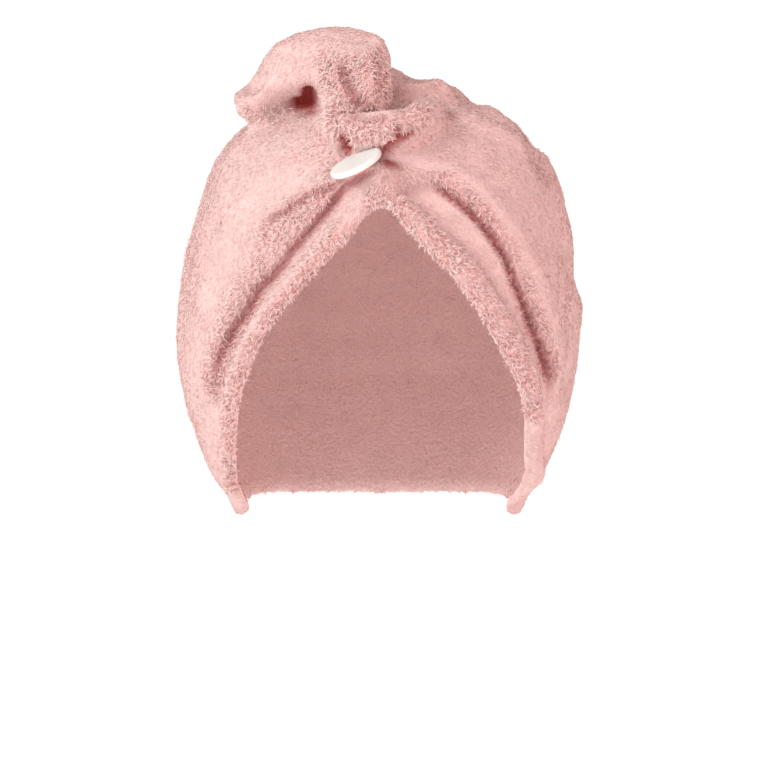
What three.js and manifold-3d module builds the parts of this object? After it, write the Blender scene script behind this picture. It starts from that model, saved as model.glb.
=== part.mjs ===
// A plush hair turban towel, worn, twisted and buttoned over the forehead.
// Millimetres, +Z up, the face opening towards -Y, the origin where a head's crown touches the cloth.
import * as THREE from "three";
import { mergeVertices } from "three/addons/utils/BufferGeometryUtils.js";
import Module from "manifold-3d";

const wasm = await Module();
wasm.setup();

// Driving dimensions
const CLOTH = 5; // the plush, from the smooth ground to the tips of its pile
const CLOTH_LEAST = 2.2; // the plush where it is pressed thin, in the bottom of a crease
const SEAT_GAP = 0.3; // clearance between two turns of cloth that lie on each other
const HOOD_WIDTH = 186; // over the ears
const HOOD_FRONT = 95; // from the origin forward to the brow
const HOOD_BACK = 103; // from the origin back to the nape
const HOOD_HEIGHT = 192; // from the crown to the lower rim
const HOOD_ROUNDING = 2.25; // exponent of the plan: 2 is an ellipse, more is squarer
const HEM_WIDTH = 14; // the rolled hem round the face, from the rim to the crease behind it
const HEM_RISE = 4.5; // how far the roll stands out of the cloth
const HEM_CREASE = 4.5; // how deep the crease behind the roll is
const FOLD_WIDTH = 14; // the usual fold in the hood, across
const FOLD_RISE = 5; // the usual fold in the hood, from valley to ridge
const KNOT_RISE = 28; // the knot's top above the crown
const ROLL_RADIUS = 13; // the twisted tail at its thickest
const WRAP_RADIUS = 8.5; // the turn round the knot's foot
const TAIL_RADIUS = 15.5; // the tail's end where it leaves the knot
const PLEAT_DEPTH = 4; // the pleats of the tail's end and the grooves between its twists
const BUTTON_DIAMETER = 23.5;
const BUTTON_THICK = 2.6;
const BUTTON_EDGE = 1.1; // rounding of the button's rim
const SHANK_DIAMETER = 5;
const SHANK_LENGTH = 8; // from the disc into the cloth
const BUTTON_TURN = 26.5; // degrees the button leans to the side
const BUTTON_TIP = 72; // degrees the button's face is tipped up from the front
const BUTTON_SINK = 1.5; // how far the button's back edge presses into the cloth's pile
const LOOP_THICK = 2.4; // the elastic loop
const LOOP_REACH = 13; // from the shank back to the tail

// Fineness of the facets
const FRONT_STEP = 3; // degrees between the hood's meridians in front
const BACK_STEP = 7.5; // degrees between them behind
const OUTER_ROWS = 25;
const INNER_ROWS = 13;
const FRONT_SPAN = 75; // degrees each side of the middle that count as the front
const ROLL_SIDES = 22;
const ROLL_STEPS = 20;
const BUTTON_SIDES = 28;
const LOOP_SIDES = 4;
const LOOP_STEPS = 14;

// Shapes of the bumps and ends, as shares
const FADE_IN = 0.15; // of a fold's length, over which it rises
const FADE_OUT = 0.25; // of a fold's length, over which it dies away
const FADE_LEAST = 0.15; // of its height, at its ends
const CREST_AT = 0.45; // of the hem's width, from the rim to the roll's crest
const CREASE_REACH = 0.42; // of the hem's width, half the crease behind it
const RIM_REACH = 1.3; // of the cloth, over which the rim rounds off
const END_REACH = 0.12; // of a roll's length, over which each end rounds off
const END_LEAST = 0.2; // of its radius, at the very end
const ROW_CROWDING = 1.35; // exponent that brings the hood's rows together near the rim

const RAD = Math.PI / 180;

// The hood's outline from the crown down: drop is a share of its height, side, front and back are
// shares of its half width, front and back. Each row is one step of the way down a meridian.
const LEVELS = [
  { drop: 0.000, side: 0.000, front: 0.00, back: 0.00 },
  { drop: 0.010, side: 0.300, front: 0.30, back: 0.30 },
  { drop: 0.045, side: 0.600, front: 0.56, back: 0.58 },
  { drop: 0.105, side: 0.800, front: 0.75, back: 0.77 },
  { drop: 0.190, side: 0.895, front: 0.87, back: 0.89 },
  { drop: 0.300, side: 0.950, front: 0.95, back: 0.965 },
  { drop: 0.430, side: 0.985, front: 1.00, back: 1.00 },
  { drop: 0.570, side: 1.000, front: 0.985, back: 0.995 },
  { drop: 0.700, side: 0.965, front: 0.90, back: 0.95 },
  { drop: 0.820, side: 0.890, front: 0.76, back: 0.87 },
  { drop: 0.920, side: 0.790, front: 0.58, back: 0.79 },
  { drop: 1.000, side: 0.670, front: 0.40, back: 0.72 },
];

// The rim: azimuth is in degrees from the front, positive to the right, and way is how far down
// the meridian of the levels the cloth reaches, 0 at the crown and 1 at the lower rim.
const RIM = [
  { azimuth: -180, way: 0.985 },
  { azimuth: -120, way: 0.975 },
  { azimuth: -84, way: 1.000 },
  { azimuth: -69, way: 0.973 },
  { azimuth: -59, way: 0.895 },
  { azimuth: -50, way: 0.823 },
  { azimuth: -42, way: 0.745 },
  { azimuth: -35, way: 0.682 },
  { azimuth: -29, way: 0.627 },
  { azimuth: -22, way: 0.582 },
  { azimuth: -13, way: 0.527 },
  { azimuth: -7, way: 0.489 },
  { azimuth: -2, way: 0.450 },
  { azimuth: 3, way: 0.444 },
  { azimuth: 7, way: 0.473 },
  { azimuth: 12, way: 0.509 },
  { azimuth: 17, way: 0.538 },
  { azimuth: 22, way: 0.573 },
  { azimuth: 28, way: 0.618 },
  { azimuth: 33, way: 0.659 },
  { azimuth: 40, way: 0.709 },
  { azimuth: 46, way: 0.759 },
  { azimuth: 51, way: 0.808 },
  { azimuth: 58, way: 0.873 },
  { azimuth: 67, way: 0.950 },
  { azimuth: 74, way: 0.990 },
  { azimuth: 86, way: 1.000 },
  { azimuth: 120, way: 0.975 },
  { azimuth: 180, way: 0.985 },
];

// The hem round the rim: width, rise and crease are shares of the hem's named sizes.
const HEM = [
  { azimuth: -180, width: 0.80, rise: 0.40, crease: 0.10 },
  { azimuth: -110, width: 0.80, rise: 0.40, crease: 0.10 },
  { azimuth: -75, width: 0.80, rise: 0.60, crease: 0.10 },
  { azimuth: -58, width: 0.95, rise: 0.85, crease: 0.35 },
  { azimuth: -40, width: 1.05, rise: 1.00, crease: 0.80 },
  { azimuth: -20, width: 0.98, rise: 1.00, crease: 0.85 },
  { azimuth: -6, width: 0.80, rise: 0.90, crease: 0.80 },
  { azimuth: 3, width: 0.66, rise: 0.80, crease: 0.80 },
  { azimuth: 12, width: 1.10, rise: 0.95, crease: 0.90 },
  { azimuth: 22, width: 1.35, rise: 1.05, crease: 1.15 },
  { azimuth: 36, width: 1.38, rise: 1.05, crease: 1.20 },
  { azimuth: 50, width: 1.30, rise: 1.00, crease: 1.00 },
  { azimuth: 62, width: 1.15, rise: 0.85, crease: 0.40 },
  { azimuth: 75, width: 0.80, rise: 0.60, crease: 0.10 },
  { azimuth: 110, width: 0.80, rise: 0.40, crease: 0.10 },
  { azimuth: 180, width: 0.80, rise: 0.40, crease: 0.10 },
];

// The hood's folds: rise is a share of the fold's rise, down where it is a valley, across is half
// the fold's width as a share of it, and each row of the path is an azimuth and a way.
const FOLDS = [
  { name: "right ridge", rise: 0.60, across: 0.80, path: [[4, 0.365], [12, 0.360], [20, 0.365],
    [29, 0.405], [36, 0.455], [42, 0.505], [48, 0.570], [55, 0.635], [63, 0.690]] },
  { name: "left ridge", rise: 0.40, across: 0.60, path: [[-15, 0.395], [-26, 0.452], [-34, 0.520],
    [-40, 0.580], [-48, 0.640]] },
  { name: "left valley", rise: -0.45, across: 0.60, path: [[-15, 0.365], [-27, 0.400],
    [-37, 0.452], [-42, 0.520], [-48, 0.585], [-55, 0.650]] },
  { name: "button shelf", rise: 1.75, across: 0.80, path: [[-16, 0.396], [-6, 0.392], [5, 0.384]] },
  { name: "under the wrap", rise: -0.30, across: 0.70, path: [[8, 0.318], [15, 0.290],
    [21, 0.250]] },
  { name: "right shoulder", rise: 0.70, across: 0.90, path: [[34, 0.170], [40, 0.225], [47, 0.262],
    [56, 0.292], [68, 0.330]] },
  { name: "right valley behind", rise: -1.25, across: 0.80, path: [[70, 0.140], [68, 0.190],
    [73, 0.235], [82, 0.268], [94, 0.290], [110, 0.330]] },
  { name: "right fold behind", rise: 0.60, across: 0.70, path: [[98, 0.110], [90, 0.150],
    [90, 0.190], [95, 0.215], [104, 0.240]] },
  { name: "left shoulder", rise: -1.05, across: 2.90, path: [[-58, 0.290], [-80, 0.345],
    [-104, 0.360]] },
  { name: "upper side dip", rise: -0.50, across: 0.60, path: [[66, 0.375], [80, 0.385],
    [92, 0.395], [110, 0.420]] },
  { name: "lower side dip", rise: -0.60, across: 0.60, path: [[60, 0.500], [75, 0.520],
    [90, 0.535], [112, 0.550]] },
  { name: "lower side ridge", rise: 0.45, across: 0.90, path: [[62, 0.570], [78, 0.590],
    [94, 0.600], [116, 0.610]] },
  { name: "back gather left", rise: 1.15, across: 0.95, path: [[-150, 0.220], [-134, 0.340],
    [-128, 0.480], [-130, 0.640]] },
  { name: "back valley left", rise: -0.95, across: 0.70, path: [[-165, 0.300], [-152, 0.420],
    [-148, 0.540], [-152, 0.680]] },
  { name: "back gather middle", rise: 1.15, across: 0.95, path: [[-176, 0.420], [-172, 0.560],
    [-174, 0.740]] },
  { name: "back valley right", rise: -0.95, across: 0.70, path: [[166, 0.420], [164, 0.560],
    [166, 0.720]] },
  { name: "back gather right", rise: 1.15, across: 0.95, path: [[138, 0.260], [140, 0.400],
    [146, 0.560], [148, 0.720]] },
];

// The turns of the tail. Azimuth and way place a section's middle over the hood, lift raises it
// off the cloth as a share of the named rise, across and deep are shares of the named radius.
const ROLL_SECTIONS = [
  { azimuth: -176, way: 0.600, lift: -0.32, across: 1.30, deep: 0.30 },
  { azimuth: -178, way: 0.510, lift: -0.20, across: 2.00, deep: 0.58 },
  { azimuth: 180, way: 0.410, lift: -0.13, across: 2.25, deep: 0.80 },
  { azimuth: 175, way: 0.310, lift: -0.07, across: 2.15, deep: 0.90 },
  { azimuth: 168, way: 0.230, lift: -0.01, across: 1.85, deep: 1.00 },
  { azimuth: 158, way: 0.165, lift: -0.02, across: 1.55, deep: 1.00 },
  { azimuth: 118, way: 0.105, lift: -0.10, across: 1.30, deep: 1.00 },
  { azimuth: 66, way: 0.095, lift: -0.12, across: 1.15, deep: 1.00 },
  { azimuth: 28, way: 0.120, lift: 0.07, across: 1.00, deep: 0.92 },
  { azimuth: 0, way: 0.078, lift: 0.20, across: 0.85, deep: 0.80 },
  { azimuth: -47, way: 0.091, lift: 0.12, across: 0.72, deep: 0.68 },
  { azimuth: -57, way: 0.136, lift: 0.08, across: 0.55, deep: 0.52 },
];
const WRAP_SECTIONS = [
  { azimuth: -19, way: 0.252, lift: 0.04, across: 0.85, deep: 0.70 },
  { azimuth: -16, way: 0.266, lift: 0.10, across: 1.10, deep: 0.90 },
  { azimuth: -10, way: 0.292, lift: 0.21, across: 1.16, deep: 1.02 },
  { azimuth: -2, way: 0.306, lift: 0.28, across: 1.08, deep: 1.05 },
  { azimuth: 6, way: 0.298, lift: 0.29, across: 1.00, deep: 1.00 },
  { azimuth: 13, way: 0.268, lift: 0.24, across: 0.95, deep: 0.95 },
  { azimuth: 20, way: 0.220, lift: 0.13, across: 0.88, deep: 0.88 },
  { azimuth: 25, way: 0.186, lift: 0.00, across: 0.70, deep: 0.70 },
];
const STAND_SECTIONS = [
  { azimuth: -7, way: 0.238, lift: 0.06, across: 0.98, deep: 0.88 },
  { azimuth: -9, way: 0.208, lift: 0.28, across: 1.08, deep: 0.98 },
  { azimuth: -11, way: 0.170, lift: 0.50, across: 1.06, deep: 1.00 },
  { azimuth: -11, way: 0.135, lift: 0.66, across: 0.98, deep: 0.92 },
  { azimuth: -12, way: 0.110, lift: 0.76, across: 0.74, deep: 0.72 },
];
const FLAP_SECTIONS = [
  { azimuth: 8, way: 0.120, lift: 0.58, across: 0.70, deep: 0.62 },
  { azimuth: -8, way: 0.130, lift: 0.62, across: 1.10, deep: 0.90 },
  { azimuth: -25, way: 0.140, lift: 0.66, across: 1.15, deep: 1.00 },
  { azimuth: -37, way: 0.152, lift: 0.59, across: 1.05, deep: 1.00 },
  { azimuth: -46, way: 0.168, lift: 0.48, across: 0.92, deep: 0.92 },
  { azimuth: -50, way: 0.198, lift: 0.36, across: 0.78, deep: 0.74 },
  { azimuth: -52, way: 0.222, lift: 0.29, across: 0.76, deep: 0.78 },
  { azimuth: -54, way: 0.246, lift: 0.22, across: 0.66, deep: 0.68 },
];

// Pleats and grooves: angle is in degrees round a roll from its front, positive to the right, turns
// is how far the groove winds round it on the way, reach is half its width in degrees, depth a share
// of the pleat's depth, and start the share of the roll's length over which it deepens.
const STAND_PLEATS = [
  { angle: -8, turns: 0, reach: 16, depth: 1.0, start: 0.05 },
  { angle: 38, turns: 0, reach: 14, depth: 0.8, start: 0.05 },
];
const ROLL_GROOVES = [
  { angle: 30, turns: 0.8, reach: 36, depth: 0.65, start: 0.45 },
  { angle: 150, turns: 0.8, reach: 36, depth: 0.65, start: 0.45 },
  { angle: 270, turns: 0.8, reach: 36, depth: 0.65, start: 0.45 },
];

const HEAD_MIDDLE = new THREE.Vector3(0, 0, -HOOD_HEIGHT / 3);
const BUTTON_SEAT = { azimuth: -6.5, way: 0.354 };

const meridians = new Map();

/** The meridian of the hood at an azimuth in degrees, as a curve from the crown down. */
function meridian(azimuth) {
  if (!meridians.has(azimuth)) meridians.set(azimuth, newMeridian(azimuth));
  return meridians.get(azimuth);
}

/** A meridian worked out from the levels. */
function newMeridian(azimuth) {
  const sine = Math.abs(Math.sin(azimuth * RAD));
  const cosine = Math.abs(Math.cos(azimuth * RAD));
  const forward = Math.cos(azimuth * RAD) >= 0;
  const points = LEVELS.map(({ drop, side, front, back }) => {
    const half = side * HOOD_WIDTH / 2;
    const depth = forward ? front * HOOD_FRONT : back * HOOD_BACK;
    const reach = half === 0 ? 0
      : ((sine / half) ** HOOD_ROUNDING + (cosine / depth) ** HOOD_ROUNDING) ** (-1 / HOOD_ROUNDING);
    return new THREE.Vector3(
      reach * Math.sin(azimuth * RAD),
      -reach * Math.cos(azimuth * RAD),
      CLOTH - drop * HOOD_HEIGHT,
    );
  });
  return new THREE.CatmullRomCurve3(points, false, "catmullrom", 0.5);
}

/** A point of the hood's plain outer surface and its outward normal. */
function hoodPoint(azimuth, way) {
  const nudge = 0.004;
  const curve = meridian(azimuth);
  const point = curve.getPoint(way);
  const from = Math.max(way, 2 * nudge);
  const down = curve.getPoint(Math.min(from + nudge, 1)).sub(curve.getPoint(from - nudge));
  const across = meridian(azimuth + 1).getPoint(from).sub(meridian(azimuth - 1).getPoint(from));
  const normal = down.cross(across).normalize();
  if (way === 0) normal.set(0, 0, 1);
  return { point, normal };
}

/** A point raised off the hood's plain surface. */
function overHood(azimuth, way, lift) {
  const { point, normal } = hoodPoint(azimuth, way);
  return point.addScaledVector(normal, lift);
}

const rimWay = new THREE.CubicInterpolant(
  RIM.map((row) => row.azimuth),
  RIM.map((row) => row.way),
  1,
);

/** How far down its meridian the cloth reaches at an azimuth. */
function rimAt(azimuth) {
  return rimWay.evaluate(azimuth)[0];
}

/** The hood's meridians in degrees, closer together in front. */
function azimuths() {
  const list = [];
  for (let a = -FRONT_SPAN; a < FRONT_SPAN; a += FRONT_STEP) list.push(a);
  for (let a = FRONT_SPAN; a < 360 - FRONT_SPAN; a += BACK_STEP) list.push(a > 180 ? a - 360 : a);
  return list;
}

const AZIMUTHS = azimuths();
const rimLine = AZIMUTHS.map((azimuth) => hoodPoint(azimuth, rimAt(azimuth)).point);
const foldLines = FOLDS.map(({ path }) => path.map(([azimuth, way]) => hoodPoint(azimuth, way).point));

/** Distance from a point to a chain of points, and how far along the chain it is nearest. */
function nearest(point, chain, closed) {
  const segment = new THREE.Line3();
  const foot = new THREE.Vector3();
  const count = closed ? chain.length : chain.length - 1;
  let best = { distance: Infinity, along: 0 };
  for (let i = 0; i < count; i += 1) {
    segment.set(chain[i], chain[(i + 1) % chain.length]);
    const share = segment.closestPointToPointParameter(point, true);
    segment.at(share, foot);
    const distance = foot.distanceTo(point);
    if (distance < best.distance) best = { distance, along: (i + share) / count };
  }
  return best;
}

/** 1 in the middle of a bump, easing to 0 at its edge. */
function bump(distance, reach) {
  return distance >= reach ? 0 : 0.5 + 0.5 * Math.cos(Math.PI * distance / reach);
}

/** How far the folds raise or sink the cloth at a point of the plain surface. */
function foldRise(point) {
  let rise = 0;
  FOLDS.forEach((fold, i) => {
    const { distance, along } = nearest(point, foldLines[i], false);
    const fade = Math.max(FADE_LEAST, Math.min(1, along / FADE_IN, (1 - along) / FADE_OUT));
    rise += fold.rise * FOLD_RISE * bump(distance, fold.across * FOLD_WIDTH) * fade;
  });
  return rise;
}

const hemShares = new THREE.CubicInterpolant(
  HEM.map((row) => row.azimuth),
  HEM.flatMap((row) => [row.width, row.rise, row.crease]),
  3,
);

/** The outer and inner offsets of the cloth near the rim, where the hem is rolled, and how far the
 * wall has come to its full thickness, from 0 at the rim to 1. */
function hemOffsets(fromRim, azimuth) {
  const [width, rise, crease] = hemShares.evaluate(azimuth);
  const reach = HEM_WIDTH * width;
  const end = Math.min(reach * CREST_AT, CLOTH * RIM_REACH);
  const crestSide = reach * (1 - CREST_AT);
  const round = (size) => Math.sqrt(Math.max(0, 1 - Math.max(0, 1 - fromRim / size) ** 2));
  const crest = HEM_RISE * rise * bump(Math.max(0, fromRim - reach * CREST_AT), crestSide);
  const dip = HEM_CREASE * crease * bump(Math.abs(fromRim - reach), reach * CREASE_REACH);
  const inset = round(CLOTH);
  return {
    outer: -CLOTH / 2 + (CLOTH / 2 + crest) * round(end) - dip,
    inner: -CLOTH / 2 - (CLOTH / 2) * inset,
    inset,
  };
}

/** A triangle list from a closed grid: a first pole, rings, and a last pole. */
function closedGrid(first, rings, last) {
  const positions = [first, ...rings.flat(), last].flatMap((p) => [p.x, p.y, p.z]);
  const sides = rings[0].length;
  const index = [];
  const at = (ring, side) => 1 + ring * sides + (side % sides);
  const end = 1 + rings.length * sides;
  const corner = ([ring, side]) => rings[ring][side % sides];
  for (let s = 0; s < sides; s += 1) {
    index.push(0, at(0, s), at(0, s + 1));
    for (let r = 0; r + 1 < rings.length; r += 1) {
      const [a, b, c, d] = [[r, s], [r + 1, s], [r + 1, s + 1], [r, s + 1]];
      const falling = corner(c).distanceTo(corner(a)) <= corner(b).distanceTo(corner(d));
      const faces = falling ? [a, b, c, a, c, d] : [a, b, d, b, c, d];
      index.push(...faces.map(([ring, side]) => at(ring, side)));
    }
    index.push(at(rings.length - 1, s), end, at(rings.length - 1, s + 1));
  }
  const geometry = new THREE.BufferGeometry();
  geometry.setAttribute("position", new THREE.Float32BufferAttribute(positions, 3));
  geometry.setIndex(index);
  return geometry;
}

/** One ring of the hood's outer surface, a share of the way from the crown to the rim. */
function outerRing(share, grow) {
  return AZIMUTHS.map((azimuth) => {
    const { point, normal } = hoodPoint(azimuth, rimAt(azimuth) * share);
    const hem = hemOffsets(nearest(point, rimLine, true).distance, azimuth);
    return point.clone().addScaledVector(normal, hem.outer + foldRise(point) + grow);
  });
}

/** One ring of the hood's inner surface, which gives way where a crease presses the cloth in. */
function innerRing(share) {
  return AZIMUTHS.map((azimuth) => {
    const { point, normal } = hoodPoint(azimuth, rimAt(azimuth) * share);
    const hem = hemOffsets(nearest(point, rimLine, true).distance, azimuth);
    const wall = CLOTH_LEAST * hem.inset;
    const inner = Math.min(hem.inner, hem.outer + foldRise(point) - wall);
    return point.clone().addScaledVector(normal, inner);
  });
}

/** Shares of the way to the rim, closer together near it. */
function shares(rows) {
  return Array.from({ length: rows - 1 }, (_, i) => 1 - (1 - (i + 1) / rows) ** ROW_CROWDING);
}

/** The hood: a wall of cloth with its folds and rolled hem, open at the face and below. */
function hoodGeometry() {
  const outer = shares(OUTER_ROWS).map((share) => outerRing(share, 0));
  const rim = AZIMUTHS.map((azimuth) => overHood(azimuth, rimAt(azimuth), -CLOTH / 2));
  const inner = shares(INNER_ROWS).map((share) => innerRing(share)).reverse();
  const crown = new THREE.Vector3(0, 0, CLOTH);
  return closedGrid(crown, [...outer, rim, ...inner], new THREE.Vector3(0, 0, 0));
}

/** The hood without its hollow, grown by the seat gap: what the turns on it are cut back from. */
function hoodBlock() {
  const outer = shares(OUTER_ROWS).map((share) => outerRing(share, SEAT_GAP));
  const rim = AZIMUTHS.map((azimuth) => overHood(azimuth, rimAt(azimuth), SEAT_GAP));
  const crown = new THREE.Vector3(0, 0, CLOTH + SEAT_GAP);
  return toSolid(closedGrid(crown, [...outer, rim], new THREE.Vector3(0, 0, -HOOD_HEIGHT / 2)));
}

/** A manifold solid from a closed geometry. */
function toSolid(geometry) {
  const bare = geometry.clone();
  bare.deleteAttribute("normal");
  bare.deleteAttribute("uv");
  const merged = mergeVertices(bare);
  return new wasm.Manifold(new wasm.Mesh({
    numProp: 3,
    vertProperties: new Float32Array(merged.attributes.position.array),
    triVerts: new Uint32Array(merged.index.array),
  }));
}

/** A geometry from a manifold solid. */
function toGeometry(solid) {
  const mesh = solid.getMesh();
  const geometry = new THREE.BufferGeometry();
  geometry.setAttribute("position", new THREE.Float32BufferAttribute(mesh.vertProperties, 3));
  geometry.setIndex(new THREE.Uint32BufferAttribute(mesh.triVerts, 1));
  return geometry;
}

/** How full a roll is near its end, from its share of the length. */
function endCap(share) {
  return Math.sqrt(Math.max(END_LEAST ** 2, 1 - Math.max(0, 1 - share / END_REACH) ** 2));
}

/** A roll of cloth lofted through sections over the hood, with rounded ends. */
function clothRoll(sections, radius, grow, pleats = []) {
  const middles = sections.map((s) => overHood(s.azimuth, s.way, s.lift * KNOT_RISE));
  const spine = new THREE.CatmullRomCurve3(middles, false, "centripetal");
  const sizes = new THREE.CubicInterpolant(
    sections.map((_, i) => i / (sections.length - 1)),
    sections.flatMap((s) => [s.across, s.deep]),
    2,
  );
  const rings = [];
  for (let i = 0; i <= ROLL_STEPS; i += 1) {
    const share = i / ROLL_STEPS;
    const middle = spine.getPoint(share);
    const along = spine.getTangent(share);
    const out = middle.clone().sub(HEAD_MIDDLE).normalize();
    const aside = new THREE.Vector3().crossVectors(out, along).normalize();
    const outward = new THREE.Vector3().crossVectors(along, aside).normalize();
    const [across, deep] = sizes.evaluate(share);
    const cap = endCap(Math.min(share, 1 - share));
    const turned = pleats.map((pleat) => ({
      ...pleat,
      angle: pleat.angle + 360 * pleat.turns * share,
      depth: pleat.depth * cap * Math.min(1, share / pleat.start),
    }));
    rings.push(ringAround(middle, aside, outward, [
      across * radius * cap + grow,
      deep * radius * cap + grow,
    ], turned));
  }
  return closedGrid(spine.getPoint(0), rings, spine.getPoint(1));
}

/** An oval ring of points round a middle, pinched in where it has pleats. */
function ringAround(middle, aside, outward, [across, deep], pleats) {
  return Array.from({ length: ROLL_SIDES }, (_, i) => {
    const turn = 360 * i / ROLL_SIDES;
    const pinch = pleats.reduce((sum, { angle, reach, depth }) => {
      const off = Math.abs(((turn - angle + 900) % 360) - 180);
      return sum + depth * PLEAT_DEPTH * bump(off, reach);
    }, 0);
    return middle.clone()
      .addScaledVector(outward, (deep - pinch) * Math.cos(turn * RAD))
      .addScaledVector(aside, (across - pinch) * Math.sin(turn * RAD));
  });
}

/** The largest solid of a cut: the part that shows, without slivers left inside a neighbour. */
function mainBody(solid) {
  return solid.decompose().reduce((a, b) => (a.volume() > b.volume() ? a : b));
}

/** The button's place: its face tipped up and turned, its back edge against the hood. */
function buttonPlace() {
  const { point } = hoodPoint(BUTTON_SEAT.azimuth, BUTTON_SEAT.way);
  const tip = new THREE.Matrix4().makeRotationX((90 - BUTTON_TIP) * RAD);
  const turn = new THREE.Matrix4().makeRotationY(-BUTTON_TURN * RAD);
  const reach = BUTTON_DIAMETER / 2 * Math.cos((90 - BUTTON_TIP) * RAD);
  return new THREE.Matrix4().multiplyMatrices(turn, tip)
    .setPosition(point.x, point.y - reach + BUTTON_SINK, point.z);
}

/** The button: a flat disc with a rounded rim, and its shank below. */
function buttonGeometry(grow) {
  const radius = BUTTON_DIAMETER / 2 + grow;
  const half = BUTTON_THICK / 2 + grow;
  const edge = BUTTON_EDGE + grow;
  const shank = SHANK_DIAMETER / 2 + grow;
  const outline = [
    new THREE.Vector2(0, -half - SHANK_LENGTH),
    new THREE.Vector2(shank, -half - SHANK_LENGTH),
    new THREE.Vector2(shank, -half),
  ];
  for (const angle of [-90, -50, -15, 15, 50, 90]) {
    outline.push(new THREE.Vector2(
      radius - edge + edge * Math.cos(angle * RAD),
      Math.sign(angle) * (half - edge) + edge * Math.sin(angle * RAD),
    ));
  }
  outline.push(new THREE.Vector2(0, half));
  return new THREE.LatheGeometry(outline, BUTTON_SIDES)
    .rotateX(Math.PI / 2)
    .applyMatrix4(buttonPlace());
}

/** The elastic loop: round the front of the shank, both ends back under the wrap. */
function loopGeometry() {
  const bend = (SHANK_DIAMETER + LOOP_THICK) / 2 + SEAT_GAP;
  const depth = -(BUTTON_THICK + LOOP_THICK) / 2 - SEAT_GAP;
  const points = [new THREE.Vector3(bend, LOOP_REACH, depth)];
  for (let angle = 0; angle <= 180; angle += 30) {
    points.push(new THREE.Vector3(bend * Math.cos(angle * RAD), -bend * Math.sin(angle * RAD), depth));
  }
  points.push(new THREE.Vector3(-bend, LOOP_REACH, depth));
  const section = new THREE.Shape().absarc(0, 0, LOOP_THICK / 2, 0, 2 * Math.PI);
  return new THREE.ExtrudeGeometry(section, {
    steps: LOOP_STEPS,
    curveSegments: LOOP_SIDES,
    extrudePath: new THREE.CatmullRomCurve3(points, false, "centripetal"),
  }).applyMatrix4(buttonPlace());
}

const hood = hoodGeometry();
const block = hoodBlock();
const rollGrown = toSolid(clothRoll(ROLL_SECTIONS, ROLL_RADIUS, SEAT_GAP, ROLL_GROOVES));
const wrapGrown = toSolid(clothRoll(WRAP_SECTIONS, WRAP_RADIUS, SEAT_GAP));
const buttonGrown = toSolid(buttonGeometry(SEAT_GAP));

const tailRoll = mainBody(toSolid(clothRoll(ROLL_SECTIONS, ROLL_RADIUS, 0, ROLL_GROOVES))
  .subtract(block));
const frontWrap = mainBody(toSolid(clothRoll(WRAP_SECTIONS, WRAP_RADIUS, 0))
  .subtract(block).subtract(rollGrown).subtract(buttonGrown));
const stand = toSolid(clothRoll(STAND_SECTIONS, TAIL_RADIUS, 0, STAND_PLEATS));
const flap = toSolid(clothRoll(FLAP_SECTIONS, TAIL_RADIUS, 0));
const tailEnd = mainBody(stand.add(flap).subtract(block).subtract(rollGrown).subtract(wrapGrown));
const button = mainBody(toSolid(buttonGeometry(0)).subtract(block));
const buttonLoop = mainBody(toSolid(loopGeometry())
  .subtract(block).subtract(wrapGrown).subtract(buttonGrown));

/** A named piece with its own finish. */
function piece(name, geometry, color, roughness) {
  const material = new THREE.MeshStandardMaterial({ color, roughness, metalness: 0 });
  const mesh = new THREE.Mesh(geometry, material);
  mesh.name = name;
  return mesh;
}

const turban = new THREE.Group();
turban.add(piece("hood", hood, 0xecbcb4, 0.95));
turban.add(piece("tail_roll", toGeometry(tailRoll), 0xe6b0a8, 0.95));
turban.add(piece("front_wrap", toGeometry(frontWrap), 0xeebab2, 0.95));
turban.add(piece("tail_end", toGeometry(tailEnd), 0xf0c0b8, 0.95));
turban.add(piece("button", toGeometry(button), 0xf8f4ee, 0.35));
turban.add(piece("button_loop", toGeometry(buttonLoop), 0xe0a8a0, 0.8));

export default turban;
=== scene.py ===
"""A plush hair turban towel, worn: its cloth, its pile, its button and the studio round it."""

import logging
import math
from dataclasses import dataclass, field, fields
from enum import Enum

import bmesh
import bpy
import numpy as np
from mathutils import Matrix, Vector
from mathutils.bvhtree import BVHTree
from mathutils.kdtree import KDTree
from mathutils.noise import noise


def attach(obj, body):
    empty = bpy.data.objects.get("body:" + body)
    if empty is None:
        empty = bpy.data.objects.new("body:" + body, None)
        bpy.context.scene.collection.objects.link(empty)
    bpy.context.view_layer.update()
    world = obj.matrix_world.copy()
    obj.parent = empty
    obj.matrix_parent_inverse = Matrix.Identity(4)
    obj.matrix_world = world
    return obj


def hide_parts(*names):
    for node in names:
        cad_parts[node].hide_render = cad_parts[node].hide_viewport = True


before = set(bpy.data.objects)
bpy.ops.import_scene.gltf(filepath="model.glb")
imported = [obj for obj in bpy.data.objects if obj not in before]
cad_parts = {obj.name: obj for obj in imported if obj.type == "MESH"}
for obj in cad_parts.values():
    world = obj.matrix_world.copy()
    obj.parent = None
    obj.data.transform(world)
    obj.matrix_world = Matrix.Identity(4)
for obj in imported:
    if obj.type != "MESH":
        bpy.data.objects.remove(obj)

MM = 0.001
log = logging.getLogger("turban")

Colour = tuple[float, float, float]
Place = tuple[float, float, float]
Pixel = tuple[float, float]


class Slot(Enum):
    """The record's material slots of the plush and the button."""

    PLUSH = "plush"
    BUTTON = "button"


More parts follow.
